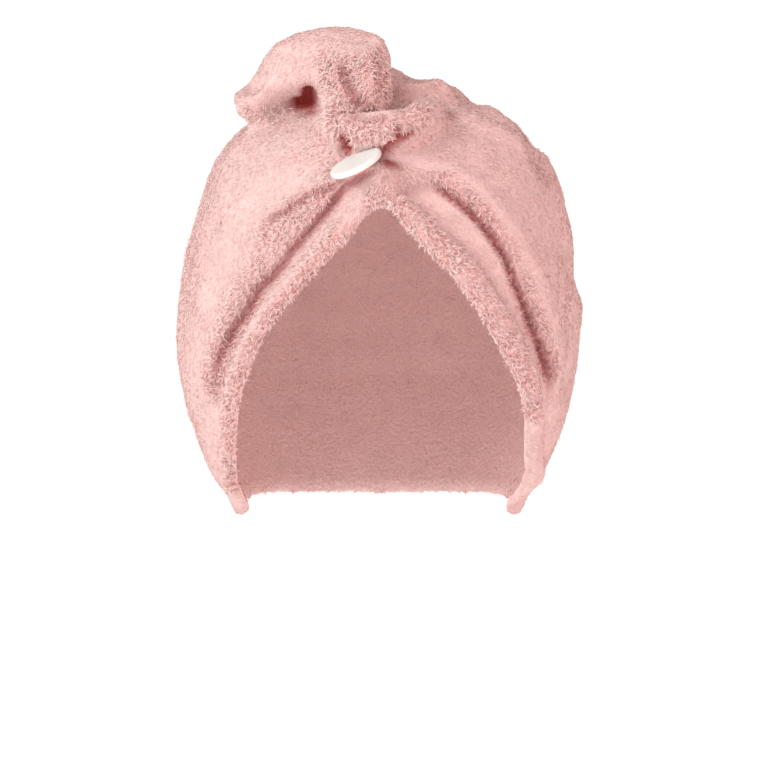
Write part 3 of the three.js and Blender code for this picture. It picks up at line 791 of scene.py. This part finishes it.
class PileTree:
    """The Geometry Nodes that grow the pile: bent strands gathered in curly tufts."""

    def __init__(self, habit: Habit = Habit()) -> None:
        """Builds the tree for a habit."""
        self.habit = habit
        self.group = bpy.data.node_groups.new("grow_pile", "GeometryNodeTree")
        self.nodes = Nodes(self.group)
        face = self.group.interface
        face.new_socket(name="Geometry", in_out="INPUT", socket_type="NodeSocketGeometry")
        for row in fields(Pile):
            kind = "NodeSocketInt" if row.type is int else "NodeSocketFloat"
            face.new_socket(name=row.name, in_out="INPUT", socket_type=kind)
        face.new_socket(name="finish", in_out="INPUT", socket_type="NodeSocketMaterial")
        face.new_socket(name="Geometry", in_out="OUTPUT", socket_type="NodeSocketGeometry")
        self.start = self.nodes.add("NodeGroupInput").outputs
        end = self.nodes.add("NodeGroupOutput")
        points, normal = self.roots()
        self.nodes.fill(end, {"Geometry": self.instances(points, normal)})

    def strand(self) -> bpy.types.NodeSocket:
        """One strand: a narrow blade that bends over and ends in a point."""
        nodes, start = self.nodes, self.start
        blade = nodes.add("GeometryNodeMeshGrid", {"Vertices X": 2, "Vertices Y": 3})
        corner = nodes.add("ShaderNodeSeparateXYZ", {0: blade.outputs["UV Map"]}).outputs
        along = corner["Y"]
        thin = nodes.math("SUBTRACT", 1.0, nodes.math("POWER", along, self.habit.taper))
        side = nodes.math("MULTIPLY", nodes.math("SUBTRACT", corner["X"], 0.5), thin)
        side = nodes.math("MULTIPLY", side, start["width"])
        over = nodes.math("MULTIPLY", nodes.math("POWER", along, 2.0), start["bend"])
        over = nodes.math("MULTIPLY", over, start["length"])
        tall = nodes.math("MULTIPLY", along, start["length"])
        place = nodes.add("ShaderNodeCombineXYZ", {"X": side, "Y": over, "Z": tall}).outputs[0]
        named = nodes.stored(blade.outputs["Mesh"], "along", along)
        shaped = nodes.add("GeometryNodeSetPosition", {"Geometry": named, "Position": place})
        merged = nodes.add(
            "GeometryNodeMergeByDistance", {"Geometry": shaped.outputs[0], "Distance": 1e-6}
        )
        smooth = nodes.add("GeometryNodeSetShadeSmooth", {"Geometry": merged.outputs[0]})
        return smooth.outputs[0]

    def roots(self) -> tuple[bpy.types.NodeSocket, bpy.types.NodeSocket]:
        """Scatters the strands' roots over the cloth, where its cover attribute lets them grow."""
        nodes, start = self.nodes, self.start
        spread = nodes.add(
            "GeometryNodeDistributePointsOnFaces",
            {
                "Mesh": start["Geometry"],
                "Distance Min": start["spacing"],
                "Density Max": start["density"],
                "Density Factor": nodes.named("cover"),
                "Seed": start["seed"],
            },
            distribute_method="POISSON",
        )
        return spread.outputs["Points"], spread.outputs["Normal"]

    def share(self, pair: tuple[float, float]) -> bpy.types.NodeSocket:
        """A number that goes from a pair's flat value to its curly one with the curl attribute."""
        flat, curly = pair
        return self.nodes.math("MULTIPLY_ADD", self.nodes.named("curl"), curly - flat, flat)

    def heading(self, normal: bpy.types.NodeSocket) -> bpy.types.NodeSocket:
        """Which way each strand grows: up, along the nap, and in to its tuft."""
        nodes, start, habit = self.nodes, self.start, self.habit
        place = nodes.add("GeometryNodeInputPosition").outputs[0]
        nap = nodes.named("nap", "FLOAT_VECTOR")
        wobble = nodes.add(
            "ShaderNodeTexNoise", {"Vector": place, "Scale": habit.wobble_per_m, "Detail": 1.0}
        ).outputs["Color"]
        wobble = nodes.scaled(nodes.vector("SUBTRACT", wobble, (0.5, 0.5, 0.5)), habit.wobble_reach)
        cell = nodes.add(
            "ShaderNodeTexVoronoi",
            {"Vector": place, "Scale": nodes.math("DIVIDE", 1.0, start["tuft"])},
        ).outputs["Position"]
        inward = nodes.vector("SUBTRACT", cell, place)
        pull = nodes.math("DIVIDE", start["pull"], start["tuft"])
        inward = nodes.scaled(inward, nodes.math("MULTIPLY", pull, self.share(habit.pull)))
        stray = nodes.math("MULTIPLY", start["stray"], self.share(habit.stray))
        stray = nodes.scaled(nodes.random_way(), stray)
        wobble = nodes.scaled(wobble, self.share(habit.wobble))
        tilt = nodes.math("MULTIPLY", start["lean"], self.share(habit.lean))
        lean = nodes.scaled(nodes.vector("ADD", nap, wobble), tilt)
        total = nodes.vector("ADD", normal, lean)
        total = nodes.vector("ADD", total, nodes.vector("ADD", inward, stray))
        return nodes.vector("NORMALIZE", total)

    def instances(
        self, points: bpy.types.NodeSocket, normal: bpy.types.NodeSocket
    ) -> bpy.types.NodeSocket:
        """Puts a strand on every root and makes them one mesh."""
        nodes, start, habit = self.nodes, self.start, self.habit
        aimed = nodes.add(
            "FunctionNodeAlignRotationToVector", {"Vector": self.heading(normal)}, axis="Z"
        ).outputs[0]
        loose = nodes.scaled(nodes.random_way(seed=3), self.share(habit.loose))
        aimed = nodes.add(
            "FunctionNodeAlignRotationToVector",
            {"Rotation": aimed, "Vector": nodes.vector("SUBTRACT", loose, normal)},
            axis="Y",
            pivot_axis="Z",
        ).outputs[0]
        size = nodes.random(habit.shortest, habit.longest, seed=5)
        sunk = nodes.math("MULTIPLY_ADD", nodes.named("depth"), -habit.in_crease, 1.0)
        size = nodes.math("MULTIPLY", size, sunk)
        size = nodes.math("MULTIPLY", size, self.share(habit.size))
        kept = nodes.stored(points, "up", normal, kind="FLOAT_VECTOR")
        placed = nodes.add(
            "GeometryNodeInstanceOnPoints",
            {"Points": kept, "Instance": self.strand(), "Rotation": aimed, "Scale": size},
        ).outputs[0]
        named = nodes.stored(placed, "tint", nodes.random(0.0, 1.0, seed=7), domain="INSTANCE")
        real = nodes.add("GeometryNodeRealizeInstances", {0: named}).outputs[0]
        return nodes.add(
            "GeometryNodeSetMaterial", {"Geometry": real, "Material": start["finish"]}
        ).outputs[0]


@dataclass(frozen=True)
class Pile:
    """How the pile of one stretch of cloth grows."""

    spacing: float = 0.42 * MM
    density: float = 7.0e6
    length: float = 2.6 * MM
    width: float = 0.52 * MM
    bend: float = 0.85
    lean: float = 0.6
    tuft: float = 2.0 * MM
    pull: float = 1.5
    stray: float = 0.25
    seed: int = 1

    def grow(
        self, tree: PileTree, cloth: bpy.types.Object, name: str, finish: bpy.types.Material
    ) -> bpy.types.Object:
        """Grows the pile on a piece of cloth.

        Args:
            tree: The tree that grows it.
            cloth: The cloth, with cover, nap, depth and curl attributes.
            name: The new piece's name.
            finish: The strands' material.

        Returns:
            The pile as a plain mesh of its own.
        """
        holder = link_mesh(name, cloth.data.copy())
        modifier = holder.modifiers.new("pile", "NODES")
        modifier.node_group = tree.group
        values = {**vars(self), "finish": finish}
        for item in tree.group.interface.items_tree:
            if item.item_type == "SOCKET" and item.in_out == "INPUT" and item.name in values:
                modifier[item.identifier] = values[item.name]
        baked(holder)
        return holder


def dress(piece: bpy.types.Object, replaces: tuple[str, ...] = ()) -> None:
    """Lets a piece ride on the part and stand for its solids."""
    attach(piece, "root")
    if replaces:
        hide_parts(*replaces)
    log.info("%s: %d triangles", piece.name, len(piece.data.loops) - 2 * len(piece.data.polygons))


@dataclass
class TurbanCloth:
    """The towel itself: its ground cloth, sunk under the tips of its pile, and the pile on it.

    The hood and the three turns of the tail are one towel, so their solids are joined first. The
    sink values are how high the pile stands where it is flat and where it curls, and least is what a
    thin wall keeps. The curl values hold where no stretch is drawn. Middle_x, side_y and behind_y
    are where the hood's zones meet.
    """

    swells: dict[str, float] = field(
        default_factory=lambda: {
            "hood": 0.35 * MM,
            "tail_roll": 0.4 * MM,
            "front_wrap": 0.4 * MM,
            "tail_end": 0.4 * MM,
        }
    )
    flat: tuple[float, float] = (640 * MM, 250 * MM)
    flat_area: float = 0.128
    voxel: float = 1.8 * MM
    rounds: int = 5
    seam_reach: float = 3.5 * MM
    seam_rounds: int = 14
    seam_full: float = 1.6
    seam_fading: int = 4
    sink_flat: float = 1.1 * MM
    sink_curly: float = 2.2 * MM
    least: float = 1.0 * MM
    shifts: tuple[Shift, ...] = ()
    creases: tuple[Crease, ...] = ()
    curls: tuple[CurlyStretch, ...] = ()
    curl_least: float = 0.12
    curl_patch: float = 0.3
    curl_inside: float = 0.3
    curl_fading: int = 2
    sink_fading: int = 3
    outward_least: float = -0.05
    patches_per_m: float = 38.0
    fine_per_m: float = 110.0
    patches_share: float = 1.2
    fine_share: float = 0.6
    stretch_least: float = 0.9
    nap: Place = (1.0, 0.3, -0.6)
    nap_turn: float = 30 * MM
    middle_x: float = 2 * MM
    side_y: float = -40 * MM
    behind_y: float = 18 * MM
    inside: Place = (0.0, 5 * MM, -70 * MM)

    def build(self, tree: PileTree, ground: bpy.types.Material, strands: bpy.types.Material) -> None:
        """Builds the cloth and its pile and hands them to the frame."""
        cloth = joined_cloth("turban_cloth", self.swells, self.voxel, self.rounds)
        owners = self.owners(cloth)
        points = points_of(cloth.data)
        set_points(cloth.data, points + sum(shift.push(points) for shift in self.shifts))
        self.press_creases(cloth)
        self.mark_curls(cloth)
        outer = self.outer(cloth) | (owners > 0)
        self.lower(cloth)
        self.comb(cloth)
        cloth.data.materials.append(ground)
        piles = []
        for zone in Zone:
            add_values(cloth.data, "cover", self.cover(cloth, zone, owners, outer))
            piles.append(self.pile_of(zone).grow(tree, cloth, zone.value, strands))
        for name in ("cover", "nap"):
            cloth.data.attributes.remove(cloth.data.attributes[name])
        dress(cloth, tuple(self.swells))
        for pile in piles:
            dress(pile)

    def press_creases(self, cloth: bpy.types.Object) -> None:
        """Presses the creases in and notes each vertex's painted crease shade, which also shortens its
        pile.
        """
        faces = tree_of(cloth.data)
        points = points_of(cloth.data)
        depth = np.zeros(len(points))
        total = np.zeros_like(points)
        for crease in self.creases:
            move, deep = crease.press(points, faces)
            total += move
            depth = np.maximum(depth, deep)
        set_points(cloth.data, points + total)
        add_values(cloth.data, "depth", np.clip(depth, 0, 1))

    def mark_curls(self, cloth: bpy.types.Object) -> None:
        """Writes how curly the pile is: in its stretches, and in loose patches elsewhere."""
        faces = tree_of(cloth.data)
        points = points_of(cloth.data)
        patches = np.array([noise(Vector(point) * self.patches_per_m) for point in points])
        fine = np.array([noise(Vector(point) * self.fine_per_m) for point in points])
        loose = np.clip(patches * self.patches_share + fine * self.fine_share, 0, 1)
        curl = self.curl_least + self.curl_patch * loose
        for stretch in self.curls:
            uneven = np.clip(self.stretch_least + self.fine_share * fine, 0, 1)
            strength = stretch.strength(points, faces) * uneven
            curl = np.maximum(curl, strength)
        curl = np.where(self.outer(cloth), curl, self.curl_inside)
        curl = eased(curl, edges_of(cloth.data), self.curl_fading)
        add_values(cloth.data, "curl", np.clip(curl, 0, 1))

    def owners(self, cloth: bpy.types.Object) -> np.ndarray:
        """Softens the seams between the joined solids, and says whose each vertex is.

        Args:
            cloth: The joined cloth.

        Returns:
            The number of the solid that each vertex lies nearest to.
        """
        away = []
        points = points_of(cloth.data)
        for node in self.swells:
            faces = tree_of(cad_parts[node].data)
            away.append([faces.find_nearest(point)[3] for point in points])
        second = np.sort(np.array(away), axis=0)[1]
        edges = edges_of(cloth.data)
        share = np.clip(self.seam_full - second / self.seam_reach, 0, 1)
        share = eased(share, edges, self.seam_fading)
        soft = eased(points, edges, self.seam_rounds)
        set_points(cloth.data, points + (soft - points) * share[:, None])
        return np.argmin(np.array(away), axis=0)

    def outer(self, cloth: bpy.types.Object) -> np.ndarray:
        """Whether each vertex lies on the towel's outer face."""
        points, normals = points_of(cloth.data), normals_of(cloth.data)
        away = points - np.array(self.inside)
        outward = (away * normals).sum(1) / np.linalg.norm(away, axis=1)
        return outward > self.outward_least

    def lower(self, cloth: bpy.types.Object) -> None:
        """Sinks the cloth's faces by the height of the pile, as far as its wall allows."""
        faces = tree_of(cloth.data)
        points, normals = points_of(cloth.data), normals_of(cloth.data)
        curl = np.empty(len(points), np.float32)
        cloth.data.attributes["curl"].data.foreach_get("value", curl)
        sink = self.sink_flat + (self.sink_curly - self.sink_flat) * curl
        for i, (point, normal) in enumerate(zip(points, normals)):
            start = Vector(point - normal * 0.05 * MM)
            far = faces.ray_cast(start, Vector(-normal), 4 * self.sink_curly + self.least)[3]
            if far is not None:
                sink[i] = min(sink[i], max(0.0, (far - self.least) / 2))
        sink = eased(sink, edges_of(cloth.data), self.sink_fading)
        set_points(cloth.data, points - normals * sink[:, None])

    def comb(self, cloth: bpy.types.Object) -> None:
        """Writes which way the nap lies: outwards from the front and down."""
        points, normals = points_of(cloth.data), normals_of(cloth.data)
        nap = np.tile(self.nap, (len(points), 1))
        nap[:, 0] *= np.tanh(points[:, 0] / self.nap_turn)
        nap -= (nap * normals).sum(1)[:, None] * normals
        nap /= np.maximum(np.linalg.norm(nap, axis=1, keepdims=True), 1e-6)
        attribute = cloth.data.attributes.new("nap", "FLOAT_VECTOR", "POINT")
        attribute.data.foreach_set("vector", nap.astype(np.float32).ravel())

    def cover(
        self, cloth: bpy.types.Object, zone: Zone, owners: np.ndarray, outer: np.ndarray
    ) -> np.ndarray:
        """Where a zone's pile grows.

        Args:
            cloth: The ground cloth.
            zone: The stretch that gets a piece of pile.
            owners: The number of the solid that each vertex belongs to.
            outer: Whether each vertex lies on the outer face.

        Returns:
            How thick the pile grows at each vertex, from 0 to 1.
        """
        points = points_of(cloth.data)
        hood = owners == 0
        left = points[:, 0] < self.middle_x
        back = points[:, 1] >= self.behind_y
        front = points[:, 1] < self.side_y
        wanted = {
            Zone.HOOD_FRONT_LEFT: hood & outer & left & front,
            Zone.HOOD_SIDE_LEFT: hood & outer & left & ~front & ~back,
            Zone.HOOD_FRONT_RIGHT: hood & outer & ~left & front,
            Zone.HOOD_SIDE_RIGHT: hood & outer & ~left & ~front & ~back,
            Zone.HOOD_BACK_LEFT: hood & outer & left & back,
            Zone.HOOD_BACK_RIGHT: hood & outer & ~left & back,
            Zone.HOOD_LINING: hood & ~outer,
            Zone.TAIL_ROLL: owners == 1,
            Zone.FRONT_WRAP: owners == 2,
            Zone.TAIL_END: owners == 3,
        }[zone]
        return wanted.astype(float)

    def pile_of(self, zone: Zone) -> Pile:
        """The pile that grows in a zone, thinner where it shows less."""
        if zone is Zone.HOOD_LINING:
            return Pile(
                spacing=1.1 * MM, density=0.9e6, length=2.4 * MM, width=1.3 * MM, lean=1.2, seed=5
            )
        if zone in (Zone.HOOD_BACK_LEFT, Zone.HOOD_BACK_RIGHT):
            return Pile(spacing=0.72 * MM, density=2.0e6, width=0.85 * MM, seed=3)
        return Pile()


@dataclass
class Button:
    """The flat button, a turned disc with a rounded rim, on its shank."""

    thick: float = 2.6 * MM
    edge: float = 1.15 * MM
    dish: float = 0.25 * MM
    sides: int = 96
    shank: float = 5 * MM
    turn: float = 26.5
    tip: float = 72.0
    hollow: tuple[tuple[float, float], ...] = ((0.0, 1.0), (0.5, 0.8), (0.8, 0.15))
    fillet: float = 0.6 * MM

    def axes(self) -> tuple[np.ndarray, np.ndarray, np.ndarray]:
        """The disc's long and short directions and the one it faces."""
        lean, turn = math.radians(90 - self.tip), math.radians(-self.turn)
        face = np.array([0.0, -math.sin(lean), math.cos(lean)])
        short = np.array([0.0, math.cos(lean), math.sin(lean)])
        round_y = np.array(
            [[math.cos(turn), 0, math.sin(turn)], [0, 1, 0], [-math.sin(turn), 0, math.cos(turn)]]
        )
        return round_y @ np.array([1.0, 0, 0]), round_y @ short, round_y @ face

    def build(self, finish: bpy.types.Material) -> None:
        """Turns the button in the place of its solid."""
        long_way, short_way, face = self.axes()
        points = points_of(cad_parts["button"].data)
        along, across, up = points @ long_way, points @ short_way, points @ face
        radius = (along.max() - along.min()) / 2
        centre = (
            long_way * (along.max() + along.min()) / 2
            + short_way * (across.max() + across.min()) / 2
            + face * (up.max() - self.thick / 2)
        )
        half, length = self.thick / 2, up.max() - up.min() - self.thick
        profile = [(radius * out, half - self.dish * deep) for out, deep in self.hollow]
        for angle in range(90, -91, -15):
            turn = math.radians(angle)
            profile.append(
                (
                    radius - self.edge + self.edge * math.cos(turn),
                    math.copysign(half - self.edge, angle) + self.edge * math.sin(turn),
                )
            )
        stem = self.shank / 2
        profile += [(stem + self.fillet, -half), (stem, -half - self.fillet)]
        profile += [(stem, -half - length), (0.0, -half - length)]
        mesh = bpy.data.meshes.new("button_disc")
        vertices, faces = self.turned(profile, centre, long_way, short_way, face)
        mesh.from_pydata(vertices, [], faces)
        soup = bmesh.new()
        soup.from_mesh(mesh)
        bmesh.ops.recalc_face_normals(soup, faces=soup.faces)
        soup.to_mesh(mesh)
        soup.free()
        for polygon in mesh.polygons:
            polygon.use_smooth = True
        disc = link_mesh("button_disc", mesh)
        disc.data.materials.append(finish)
        dress(disc, ("button",))

    def turned(
        self,
        profile: list[tuple[float, float]],
        centre: np.ndarray,
        long_way: np.ndarray,
        short_way: np.ndarray,
        face: np.ndarray,
    ) -> tuple[list[tuple[float, ...]], list[tuple[int, ...]]]:
        """Turns a profile round the disc's axis.

        Args:
            profile: Rows of radius and height, from the axis on top to the axis below.
            centre: The disc's middle.
            long_way: One direction in the disc.
            short_way: The other one.
            face: The direction that the disc faces.

        Returns:
            The vertices and the faces.
        """
        rings = profile[1:-1]
        vertices = [tuple(centre + face * profile[0][1])]
        for radius, height in rings:
            for side in range(self.sides):
                turn = 2 * math.pi * side / self.sides
                spoke = long_way * math.cos(turn) + short_way * math.sin(turn)
                vertices.append(tuple(centre + spoke * radius + face * height))
        vertices.append(tuple(centre + face * profile[-1][1]))
        faces = []
        for side in range(self.sides):
            beside = (side + 1) % self.sides
            faces.append((0, 1 + side, 1 + beside))
            for ring in range(len(rings) - 1):
                low, high = 1 + ring * self.sides, 1 + (ring + 1) * self.sides
                faces.append((low + side, high + side, high + beside, low + beside))
            last = 1 + (len(rings) - 1) * self.sides
            faces.append((last + side, len(vertices) - 1, last + beside))
        return vertices, faces


@dataclass(frozen=True)
class Studio:
    """The white floor and surroundings, and the soft light from the upper left."""

    floor_z: float = -0.34
    floor_reach: float = 8.0
    sky: float = 0.68
    sky_seen: float = 1.05
    key_place: Place = (-0.95, -1.15, 0.7)
    key_size: float = 0.7
    key_watts: float = 15.4
    fill_place: Place = (1.3, -0.9, 0.15)
    fill_size: float = 0.9
    fill_watts: float = 5.0
    aim: Place = (0, 0, -0.07)
    sky_tone: Colour = (1.0, 0.94, 0.93)
    key_tone: Colour = (1.0, 0.99, 0.98)
    fill_tone: Colour = (1.0, 0.38, 0.33)

    def build(self, finish: StudioFinish) -> None:
        """Makes the floor, the sky and the lights."""
        mesh = bpy.data.meshes.new("studio_floor")
        reach, level = self.floor_reach, self.floor_z
        corners = [(x * reach, y * reach, level) for x, y in ((-1, -1), (1, -1), (1, 1), (-1, 1))]
        mesh.from_pydata(corners, [], [(0, 1, 2, 3)])
        floor = link_mesh("studio_floor", mesh)
        floor.data.materials.append(finish.floor_material())
        world = bpy.data.worlds.new("studio_sky")
        world.use_nodes = True
        nodes = Nodes(world.node_tree)
        back = world.node_tree.nodes["Background"]
        seen = nodes.add("ShaderNodeLightPath").outputs["Is Camera Ray"]
        strength = nodes.math("MULTIPLY_ADD", seen, self.sky_seen - self.sky, self.sky)
        colour = nodes.blend(seen, self.sky_tone, (1.0, 1.0, 1.0))
        nodes.fill(back, {"Strength": strength, "Color": colour})
        bpy.context.scene.world = world
        self.light("key_light", self.key_place, self.key_size, self.key_watts, self.key_tone)
        self.light("fill_light", self.fill_place, self.fill_size, self.fill_watts, self.fill_tone)

    def light(self, name: str, place: Place, size: float, watts: float, tone: Colour) -> None:
        """Adds a soft square light that faces the part.

        Args:
            name: The light's name.
            place: Where it stands.
            size: The length of its sides.
            watts: How strong it is.
            tone: Its colour.
        """
        data = bpy.data.lights.new(name, "AREA")
        data.size = size
        data.energy = watts
        data.color = tone
        lamp = bpy.data.objects.new(name, data)
        bpy.context.scene.collection.objects.link(lamp)
        lamp.location = place
        facing = Vector(self.aim) - Vector(place)
        lamp.rotation_euler = facing.to_track_quat("-Z", "Y").to_euler()


# Each crease presses the cloth in by its depth; its shade paints a darker red along its bottom as shade.
CREASES = (
    Crease(
        "right crease",
        ((428, 187), (437, 188), (455, 199), (471, 211), (484, 225), (496, 241), (507, 258),
         (515, 285), (524, 305), (531, 325), (539, 343), (545, 361), (551, 380), (554, 402)),
        depth=4.0 * MM, reach=1.5 * MM, shade=0.8, shade_share=0.85,
    ),
    Crease(
        "start of the right crease",
        ((400, 192), (415, 191), (434, 188)),
        depth=1 * MM, reach=2.4 * MM, shade=0.15,
    ),
    Crease(
        "left crease",
        ((379, 168), (371, 172), (363, 177), (354, 184), (346, 189), (339, 198), (329, 210),
         (317, 223), (307, 235), (290, 253), (282, 264), (273, 275), (264, 284), (256, 294),
         (248, 308), (232, 332), (224, 348), (217, 363), (213, 380), (211, 398)),
        depth=2.8 * MM, reach=1.6 * MM, shade=0.66, shade_share=0.85,
    ),
    Crease(
        "fold beside the button",
        ((350, 184), (341, 182), (332, 186), (317, 191), (304, 196), (293, 201), (282, 210),
         (271, 215), (262, 221)),
        depth=1.8 * MM, reach=1.8 * MM, shade=0.5, shade_share=0.85,
    ),
    Crease(
        "hollow under the end of the tail",
        ((293, 105), (299, 104), (305, 104), (309, 104), (309, 99), (308, 94), (307, 89)),
        depth=5.0 * MM, reach=2.0 * MM, shade=1.0, shade_share=1.2, near=7 * MM,
    ),
    Crease(
        "gap under the wrap",
        ((380, 153), (394, 148), (407, 142), (420, 134)),
        depth=3.8 * MM, reach=2.1 * MM, shade=0.9, shade_share=0.9,
    ),
    Crease(
        "crease in the wrap",
        ((399, 124), (401, 134), (400, 146)),
        depth=2.2 * MM, reach=1.6 * MM, shade=0.6,
    ),
    Crease(
        "edge of the wrap",
        ((350, 112), (364, 115), (378, 117), (390, 113)),
        depth=2.0 * MM, reach=1.8 * MM, shade=0.3,
    ),
    Crease(
        "arc above the button",
        ((336, 141), (341, 143), (344, 147), (345, 151), (343, 156)),
        depth=3.6 * MM, reach=1.9 * MM, shade=1.0, shade_share=0.9,
    ),
    Crease(
        "left pleat of the tail",
        ((338, 55), (343, 66), (349, 77), (354, 88), (358, 98), (366, 110)),
        depth=3.2 * MM, reach=2.6 * MM, shade=0.45,
    ),
    Crease(
        "right pleat of the tail",
        ((379, 56), (381, 68), (382, 80), (381, 94), (377, 106)),
        depth=0.8 * MM, reach=2.2 * MM, shade=0.15,
    ),
)

SHIFTS = (
    Shift("shoulder of the tail's end", (243, 77), (5.5 * MM, 0, -4 * MM), 9 * MM),
    Shift("crest of the roll", (412, 66), (0, 0, -5.5 * MM), 9 * MM),
    Shift("foot of the tail", (384, 99), (0, -2 * MM, -5 * MM), 8 * MM),
    Shift("upper edge of the wrap", (386, 118), (0, 0, 2.5 * MM), 8 * MM),
    Shift("right shoulder", (490, 108), (1 * MM, 0, 2.5 * MM), 8 * MM),
    Shift("notch in the shoulder", (546, 152), (-4.5 * MM, 0, -2.5 * MM), 11 * MM),
    Shift("top of the hem", (386, 182), (0, -6 * MM, 3.5 * MM), 11 * MM),
    Shift("upper edge of the tail's end", (286, 40), (-2.4 * MM, 0, 1 * MM), 11 * MM),
    Shift("upper corner of the stand", (370, 36), (3 * MM, 0, 1 * MM), 7 * MM),
    Shift("right lobe of the roll", (434, 80), (2 * MM, 0, 2.5 * MM), 7 * MM),
    Shift("dip left of the tail", (243, 117), (-2.5 * MM, 0, 0), 6 * MM),
    Shift("lower left side", (218, 480), (-2.2 * MM, 0, 0), 14 * MM),
    Shift("lower right side of the hem", (539, 480), (4.4 * MM, 0, 0), 11 * MM),
    Shift("right side under the shoulder", (562, 188), (2.2 * MM, 0, 0), 8 * MM),
    Shift("right side under the fold", (576, 376), (-1.8 * MM, 0, 0), 9 * MM),
    Shift("lobe of the wrap", (424, 108), (0, -2.5 * MM, 1 * MM), 7 * MM),
    Shift("upper left side", (185, 225), (2.8 * MM, 0, 0), 35 * MM),
    Shift("right fold", (584, 306), (-2.6 * MM, 0, 0), 16 * MM),
    Shift("lower right side", (579, 368), (-2.2 * MM, 0, 0), 14 * MM),
    Shift("left foot", (232, 508), (3.5 * MM, 0, 0), 8 * MM),
    Shift("right foot", (524, 508), (-5 * MM, 0, 0), 8 * MM),
)

# Curly stretches make the pile stand in tufts, and through the tone they also take painted shade.
CURLS = (
    CurlyStretch(
        "left of the left crease",
        ((320, 200), (300, 218), (282, 236), (268, 254), (255, 275), (240, 300), (225, 330),
         (214, 360), (208, 390)),
        reach=8 * MM, full=0.85,
    ),
    CurlyStretch(
        "beside the button",
        ((326, 186), (302, 200), (282, 212), (266, 226), (262, 246)),
        reach=5.5 * MM, full=0.8,
    ),
    CurlyStretch(
        "left rim",
        ((345, 235), (322, 262), (298, 290), (272, 322), (255, 352), (238, 385), (232, 420),
         (232, 455), (238, 490)),
        reach=7.5 * MM, full=0.9,
    ),
    CurlyStretch(
        "right rim",
        ((378, 200), (400, 208), (425, 232), (448, 258), (470, 285), (490, 315), (508, 348),
         (524, 385), (532, 415)),
        reach=8.5 * MM, full=1.0,
    ),
    CurlyStretch(
        "right of the right crease",
        ((440, 178), (462, 190), (482, 210), (500, 236), (514, 260), (524, 285), (536, 315),
         (548, 345), (555, 375)),
        reach=5.5 * MM, full=0.95,
    ),
    CurlyStretch(
        "stand of the tail",
        ((325, 60), (335, 85), (352, 60), (365, 85), (380, 55), (385, 85), (360, 105),
         (335, 105)),
        reach=7 * MM, full=1.0,
    ),
    CurlyStretch(
        "wrap",
        ((335, 125), (355, 130), (375, 132), (395, 130), (412, 122), (428, 110)),
        reach=7.5 * MM, full=1.0,
    ),
    CurlyStretch(
        "lip of the tail's end",
        ((300, 96), (286, 104), (270, 112), (255, 118), (242, 112)),
        reach=5 * MM, full=0.75,
    ),
    CurlyStretch(
        "above the button",
        ((316, 143), (326, 151), (335, 160), (328, 175)),
        reach=5 * MM, full=0.55,
    ),
    CurlyStretch(
        "above the right crease",
        ((402, 172), (418, 176), (436, 178)),
        reach=5 * MM, full=0.6,
    ),
)


def build() -> None:
    """Builds the turban in order."""
    plush = PlushFinish()
    ground, strands = plush.ground_material(), plush.pile_material()
    TurbanCloth(shifts=SHIFTS, creases=CREASES, curls=CURLS).build(PileTree(), ground, strands)
    Button().build(ButtonFinish().material())
    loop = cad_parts["button_loop"]
    loop.data.materials.clear()
    loop.data.materials.append(ElasticFinish().material())


def main() -> None:
    """Makes the camera, the studio and the turban, and notes the sizes."""
    logging.basicConfig(level=logging.INFO, format="%(name)s: %(message)s")
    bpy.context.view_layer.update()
    VIEW.make_camera()
    bpy.context.scene.view_settings.view_transform = "Standard"
    Studio().build(StudioFinish())
    build()


if __name__ == "__main__":
    main()
